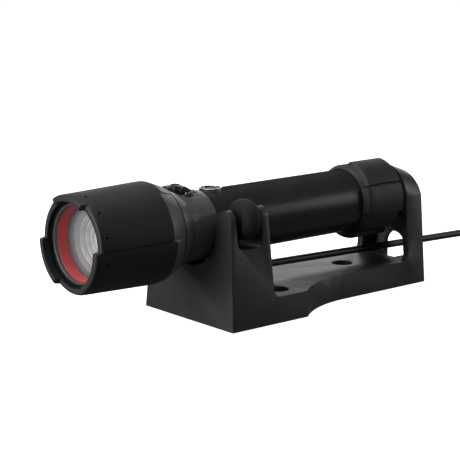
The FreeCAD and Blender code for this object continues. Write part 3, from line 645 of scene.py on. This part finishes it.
def grip_ring_surface():
    """The anti-roll ring: two groups of two lugs, a thin slit between the lugs of a group.

    Each column of the ring mixes three outlines of equal length, the plain ring's, the short lug's
    and the long lug's, by how far inside a lug's edges its turn is. Turns are counted from each
    group's slit, where the outside also sinks."""
    columns = 720
    angle = np.arange(columns) * TURN / columns
    group = np.stack([from_top(angle, slit) for slit in LUG_TURNS])
    turn = group[np.argmin(np.abs(group), axis=0), np.arange(columns)]
    short = smooth_step((math.radians(48.0) - turn) * LUG_RADIUS / 2.0) * (turn > 0)
    long = smooth_step((turn + math.radians(60.0)) * LUG_RADIUS / 2.0) * (turn <= 0)
    slit = 1.0 - smooth_step((np.abs(turn) * LUG_RADIUS - 0.35) / 0.35)
    tail = np.linspace(113.5, 133.6, 12)
    plain = [(107.8, 17.5), (107.85, 17.75), (108.9, 18.6), (109.6, 19.1), (110.0, 19.36), (110.4, 19.5)]
    shorter = [(107.8, 17.5), (107.85, 17.75), (108.5, 19.0), (108.8, 20.8), (109.0, 21.3),
               (109.5, LUG_RADIUS)]
    longer = [(107.8, 17.5), (107.85, 17.75), (110.4, 19.5), (110.9, 20.9), (111.2, 21.35),
              (111.7, LUG_RADIUS)]
    back = [(134.5, 0.12), (135.0, 0.5), (135.4, 0.9), (135.6, 1.3)]
    end = [(135.6, 18.25), (108.8, 18.25), (108.8, 17.5)]
    outlines = []
    for start, top in ((plain, RING_RADIUS), (shorter, LUG_RADIUS), (longer, LUG_RADIUS)):
        middle = [(x, top) for x in tail]
        outlines.append(np.array(start + middle + [(x, max(top - drop, 18.3)) for x, drop in back] + end))
    plain, shorter, longer = (outline[:, None, :] for outline in outlines)
    shape = plain + (shorter - plain) * short[None, :, None] + (longer - plain) * long[None, :, None]
    radius = shape[..., 1] - 1.5 * slit[None, :] * (shape[..., 1] > RING_RADIUS + 0.4)
    return FRONT_X + shape[..., 0] * MM, radius * MM, angle


class TORCH_OT_head(bpy.types.Operator):
    """Build the lamp head's cover, rings, glass and lens"""

    bl_idname = "torch.head"
    bl_label = "Lamp head"

    def execute(self, context):
        sizes = context.scene.torch_sizes
        surface, bands = bumper_surface(sizes)
        bumper = ring_piece("bumper", "head", "bumper_rubber", "bumper", *surface, bands)
        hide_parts("head_bumper")
        turned("lamp_barrel", "head", "dark_metal",
               [(-68.4, 19.8), (COVER_END, 19.8), (COVER_END, 22.4), (-68.4, 22.4)], 0.3,
               replaces=("head_barrel",))
        turned("clamp_ring", "head", "neck",
               [(-68.2, 19.0), (-66.5, 18.6), (-66.5, 19.8), (-68.2, 19.8)], 0.2,
               replaces=("retaining_ring",))
        turned("red_band", "head", "red",
               [(-66.4, 18.5), (-61.4, 17.4), (-61.4, 19.8), (-66.4, 19.8)], 0.25, replaces=("red_ring",))
        self.lens(sizes)
        return {"FINISHED"}

    def lens(self, sizes):
        """The clear lens: rings that step down into a deep dish round a centre that carries painted
        reflections.
        """
        count = sizes.lens_rings
        corners = [(-58.2, 16.9)]
        for step in range(count):
            outer = 16.2 - step * 1.15
            depth = -57.9 + 0.75 * step
            corners += [(depth, outer), (depth + 0.1, outer - 0.75)]
        corners += [(-52.4, 7.6), (-53.4, 5.0), (-53.8, 1.2), (-52.0, 1.2), (-48.0, 6.2), (-51.5, 11.8),
                    (-56.0, 16.0)]
        turned("lens_rings", "head", "lens", corners, 0.12, replaces=("collimator",))


class TORCH_OT_grip(bpy.types.Operator):
    """Build the knurled grip, the neck and the tail's ring"""

    bl_idname = "torch.grip"
    bl_label = "Grip, neck and tail ring"

    def execute(self, context):
        sizes = context.scene.torch_sizes
        ring_piece("knurled_grip", "torch", "tube_metal", "tube", *knurl_surface(sizes))
        ring = ring_piece("anti_roll_ring", "tail", "grip_rubber", "grip", *grip_ring_surface())
        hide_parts("grip_ring")
        softened("neck", "neck_housing", "torch", "neck", 0.35)
        softened("tail_cone", "tail_cap", "tail", "dark_metal", 0.4)
        return {"FINISHED"}


class TORCH_OT_controls(bpy.types.Operator):
    """Build the two buttons, their guards and the lock slider"""

    bl_idname = "torch.controls"
    bl_label = "Buttons and slider"

    def execute(self, context):
        hump = [(-7.8, 11.6), (2.1, 11.6), (2.1, 18.2), (-3.2, 21.2), (-6.0, 21.4), (-7.8, 19.4)]
        mode = dome_pad("mode_pad", "mode_button", "button", hump, 4.2)
        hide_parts("mode_button")
        knob = [(-15.9, 14.2), (-9.1, 14.2), (-9.1, 20.6), (-10.9, 22.2), (-14.1, 22.2), (-15.9, 20.6)]
        slider = dome_pad("lock_knob", "lock_slider", "knob", knob, 2.7)
        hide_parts("lock_slider")
        low, high = node_box("button_ring")
        centre = 0.5 * (low + high)
        upright("power_bezel", "torch", "polished",
                [(4.8, 12.8), (5.9, 12.8), (5.9, 18.2), (4.8, 18.2)], centre, 0.35, replaces=("button_ring",))
        upright("power_cap", "power_button", "button",
                [(0.02, 11.4), (4.5, 11.4), (4.5, 17.7), (3.4, 18.0), (2.9, 17.6), (0.02, 17.4)], centre,
                0.25, replaces=("power_button",))
        softened("guard_rails", "button_guards", "torch", "polished", 0.7, 4)
        return {"FINISHED"}


# ---- the cradle -----------------------------------------------------------------------------------

class TORCH_OT_cradle(bpy.types.Operator):
    """Build the cradle's moulding"""

    bl_idname = "torch.cradle"
    bl_label = "Cradle"

    def execute(self, context):
        sizes = context.scene.cradle_sizes
        softened("cradle_moulding", "cradle_shell", "cradle", "cradle",
                 sizes.edge_round / MM)
        return {"FINISHED"}


LEAD_ROUTE = [(48, 0, 21.4), (208, 0, 17.3), (222, 0.8, 16.4), (236, 3.0, 13.4), (248, 4.0, 11.2)]
COIL_CENTRE = (257.0, -22.0)
COIL_TURNS = ((26.0, 10.8), (22.0, 10.8), (18.0, 10.8), (22.0, 6.8), (26.0, 6.8), (26.0, 2.8))
POINTS_A_TURN = 16
DROP_TURN = 0.55


def coil_points():
    """The wound length, clockwise seen from above, in millimetres from the cradle's front edge.

    Each turn keeps one radius and height. It moves to the next turn's radius just before the top of
    the ring, and to the next height at the drop turn, part way round, so that no two turns cross."""
    points = []
    for number, (radius, height) in enumerate(COIL_TURNS):
        last = number == len(COIL_TURNS) - 1
        below = COIL_TURNS[min(number + 1, len(COIL_TURNS) - 1)]
        steps = POINTS_A_TURN // 2 + 1 if last else POINTS_A_TURN
        for step in range(steps):
            share = step / POINTS_A_TURN
            wide = radius + (below[0] - radius) * float(smooth_step((share - 0.8) / 0.2))
            high = height + (below[1] - height) * float(smooth_step((share - DROP_TURN) / 0.2))
            angle = 0.25 * TURN - share * TURN
            points.append((COIL_CENTRE[0] + wide * math.cos(angle), COIL_CENTRE[1] + wide * math.sin(angle),
                           high))
    return points


class TORCH_OT_lead(bpy.types.Operator):
    """Build the supply lead, its coil and tie, and its plug"""

    bl_idname = "torch.lead"
    bl_label = "Supply lead"

    def execute(self, context):
        diameter = context.scene.cradle_sizes.lead_diameter
        tail = [(246.0, -48.0, 2.8), (238.0, -48.0, 3.4)]
        points = [(along(x), y * MM, z * MM) for x, y, z in LEAD_ROUTE + coil_points() + tail]
        curve = bpy.data.curves.new("supply_lead", "CURVE")
        curve.dimensions = "3D"
        spline = curve.splines.new("NURBS")
        spline.points.add(len(points) - 1)
        for spot, point in zip(spline.points, points):
            spot.co = (*point, 1.0)
        spline.order_u = 3
        spline.use_endpoint_u = True
        spline.resolution_u = 6
        curve.bevel_depth = 0.5 * diameter
        curve.bevel_resolution = 5
        curve.use_fill_caps = True
        lead = bpy.data.objects.new("supply_lead", curve)
        bpy.context.scene.collection.objects.link(lead)
        curve.materials.append(finish("lead"))
        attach(lead, "cradle")
        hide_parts("cord_lead", "cord_coil")
        tie = self.tie()
        grip = self.plug_grip()
        shell = softened("plug_case", "plug_shell", "cradle", "steel", 0.3)
        return {"FINISHED"}

    def tie(self):
        """A strap round the bundle: a rounded rectangle that follows the CAD tie's section."""
        low, high = node_box("cord_tie")
        corners = [(low[1], low[2]), (high[1], low[2]), (high[1], high[2]), (low[1], high[2])]
        loop = rounded([(y / MM, z / MM) for y, z in corners], 2.6, 8) * MM
        middle = loop.mean(axis=0)
        inner = middle + (loop - middle) * 0.88
        half = 0.5 * (high[0] - low[0])
        centre = 0.5 * (high[0] + low[0])
        rows = [(inner, -0.96), (loop, -1.0), (loop, -0.5), (loop, 0.0), (loop, 0.5), (loop, 1.0),
                (inner, 0.96)]
        points = [np.column_stack([np.full(len(path), centre + half * side), path]) for path, side in rows]
        piece = new_piece("lead_tie", "cradle", "tie")
        fill(piece, np.array(points), grid_faces(len(rows), len(loop), True, True))
        outward(piece)
        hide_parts("cord_tie")
        return piece

    def plug_grip(self):
        """The plug's moulded grip: a rounded-box section carried along it, narrowing to the lead."""
        low, high = node_box("plug_grip")
        centre = 0.5 * (low + high)
        length = high[0] - low[0]
        share = np.array([0.0, 0.01, 0.03, 0.3, 0.52, 0.6, 0.7, 0.82, 0.92, 0.99, 1.0])
        wide = np.array([6.2, 6.6, 6.8, 6.8, 6.8, 6.2, 4.6, 3.4, 2.7, 2.5, 2.3]) * MM
        tall = np.array([3.4, 3.8, 3.98, 3.98, 3.98, 3.8, 3.2, 2.7, 2.5, 2.4, 2.2]) * MM
        turns = 48
        angle = np.arange(turns) * TURN / turns
        squareness = 0.45
        across = np.sign(np.cos(angle)) * np.abs(np.cos(angle)) ** squareness
        above = np.sign(np.sin(angle)) * np.abs(np.sin(angle)) ** squareness
        x = np.broadcast_to((low[0] + share * length)[:, None], (len(share), turns))
        y = centre[1] + wide[:, None] * across
        z = centre[2] + tall[:, None] * above
        piece = new_piece("plug_handle", "cradle", "lead")
        fill(piece, np.stack([x, y, z], axis=-1), grid_faces(len(share), turns, False, True))
        close_ends(piece)
        sharpen(piece, 40.0)
        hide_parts("plug_grip")
        return piece


CAD_FINISHES = {
    "bottom_cover": "black", "cover_screws": "steel", "roller_pin_left": "steel", "roller_pin_right": "steel",
    "contact_holder": "black", "contact_springs": "steel", "charge_board": "board", "lead_gland": "lead",
    "tail_cushion": "black", "plug_tongue": "black", "roller_bush_left": "black",
    "roller_bush_right": "black",
    "roller_tyre_left": "tyre", "roller_tyre_right": "tyre", "contact_pins": "gilt", "battery_tube": "tube",
    "heat_sink": "aluminium", "led_board": "board", "led_emitter": "emitter", "driver_board": "board",
    "battery_pack": "cell", "front_contact": "gilt", "contact_disc": "board", "switch_board": "board",
    "pad_insulator": "black", "charge_pads": "gilt", "head_oring": "black", "tail_oring": "black",
    "front_glass": "glass", "glass_seal": "black", "lens_holder": "black", "tail_spring": "steel",
    "tail_contact": "board",
}


class TORCH_OT_finishes(bpy.types.Operator):
    """Give each engineering part that still shows its own finish"""

    bl_idname = "torch.finishes"
    bl_label = "Finishes"

    def execute(self, context):
        for node, name in CAD_FINISHES.items():
            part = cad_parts[node]
            part.data.materials.clear()
            part.data.materials.append(finish(name))
        return {"FINISHED"}


# ---- the stage ------------------------------------------------------------------------------------

VIEW_TURN = math.radians(39.79)
VIEW_DROP = math.radians(11.92)
CAMERA_PLACE = (-0.56152, -0.61591, 0.21224)
CAMERA_LENS = 123.26
SENSOR = 36.0
FLOOR_HALF = 6.0
FLOOR_GAP = 0.0002
FLOOR_GLOW = 0.93
ROOM_LIGHT = 0.09


def soft_light(name, power, size, place, target):
    """A rectangular area light that faces a point."""
    lamp = bpy.data.lights.new(name, "AREA")
    lamp.energy = power
    lamp.shape = "RECTANGLE"
    lamp.size, lamp.size_y = size
    item = bpy.data.objects.new(name, lamp)
    bpy.context.scene.collection.objects.link(item)
    item.location = place
    item.rotation_euler = (Vector(target) - Vector(place)).to_track_quat("-Z", "Y").to_euler()
    return item


class TORCH_OT_stage(bpy.types.Operator):
    """Build the floor, the soft lights and the camera"""

    bl_idname = "torch.stage"
    bl_label = "Stage"

    def execute(self, context):
        scene = context.scene
        sizes = scene.stage_sizes
        floor = bpy.data.meshes.new("floor")
        corners = [(-FLOOR_HALF, -FLOOR_HALF, 0), (FLOOR_HALF, -FLOOR_HALF, 0), (FLOOR_HALF, FLOOR_HALF, 0),
                   (-FLOOR_HALF, FLOOR_HALF, 0)]
        floor.from_pydata(corners, [], [(0, 1, 2, 3)])
        plane = bpy.data.objects.new("floor", floor)
        scene.collection.objects.link(plane)
        plane.location.z = -FLOOR_GAP
        net = Net("pale_floor")
        colour = tuple(sizes.floor_colour)
        floor.materials.append(net.finish(Base_Color=colour, Roughness=0.9, Emission_Color=(1.0, 1.0, 1.0),
                                          Emission_Strength=FLOOR_GLOW))
        plane.visible_diffuse = False
        plane.visible_glossy = False
        world = bpy.data.worlds.new("studio")
        world.use_nodes = True
        world.node_tree.nodes["Background"].inputs[0].default_value = (1.0, 1.0, 1.0, 1.0)
        world.node_tree.nodes["Background"].inputs[1].default_value = ROOM_LIGHT
        scene.world = world
        middle = (0.0, 0.0, 0.05)
        soft_light("overhead", sizes.key_power, (0.9, 0.6), (-0.1, 0.1, 0.95), middle)
        soft_light("behind", 0.7 * sizes.key_power, (1.3, 0.5), (0.75, 1.0, 0.45), middle)
        soft_light("ahead", 1.6 * sizes.key_power, (0.7, 0.6), (-1.05, 0.15, 0.3), middle)
        soft_light("beside", 0.5 * sizes.key_power, (0.7, 0.5), (1.1, -0.65, 0.35), middle)
        scene.view_settings.view_transform = "Standard"
        self.camera(scene)
        return {"FINISHED"}

    def camera(self, scene):
        """The camera looks along its own turn and drop, with no roll."""
        right = Vector((math.cos(VIEW_TURN), -math.sin(VIEW_TURN), 0.0))
        back = Vector((-math.sin(VIEW_TURN) * math.cos(VIEW_DROP), -math.cos(VIEW_TURN) * math.cos(VIEW_DROP),
                       math.sin(VIEW_DROP)))
        up = back.cross(right)
        data = bpy.data.cameras.new("view")
        data.lens = CAMERA_LENS
        data.sensor_width = SENSOR
        data.clip_start = 0.01
        item = bpy.data.objects.new("view", data)
        scene.collection.objects.link(item)
        item.matrix_world = Matrix.Translation(CAMERA_PLACE) @ Matrix((right, up, back)).transposed().to_4x4()
        scene.camera = item


# ---- panel and registration -----------------------------------------------------------------------

STEPS = (TORCH_OT_lead, TORCH_OT_cradle, TORCH_OT_head, TORCH_OT_grip, TORCH_OT_controls, TORCH_OT_finishes,
         TORCH_OT_stage)


class TORCH_PT_panel(bpy.types.Panel):
    """The torch's pieces, one button each"""

    bl_idname = "TORCH_PT_panel"
    bl_label = "Torch in cradle"
    bl_space_type = "VIEW_3D"
    bl_region_type = "UI"
    bl_category = "Torch"

    def draw(self, context):
        for group in ("torch_sizes", "cradle_sizes", "stage_sizes"):
            sizes = getattr(context.scene, group)
            for name in sizes.bl_rna.properties.keys():
                if name not in {"rna_type", "name"}:
                    self.layout.prop(sizes, name)
        for step in STEPS:
            self.layout.operator(step.bl_idname)


CLASSES = (TorchSizes, CradleSizes, StageSizes, *STEPS, TORCH_PT_panel)
GROUPS = {"torch_sizes": TorchSizes, "cradle_sizes": CradleSizes, "stage_sizes": StageSizes}


def register():
    for item in CLASSES:
        bpy.utils.register_class(item)
    for name, group in GROUPS.items():
        setattr(bpy.types.Scene, name, bpy.props.PointerProperty(type=group))


def unregister():
    for name in GROUPS:
        delattr(bpy.types.Scene, name)
    for item in reversed(CLASSES):
        bpy.utils.unregister_class(item)


def main():
    """Build everything in order."""
    register()
    for step in STEPS:
        family, name = step.bl_idname.split(".")
        getattr(getattr(bpy.ops, family), name)()


if __name__ == "__main__":
    main()
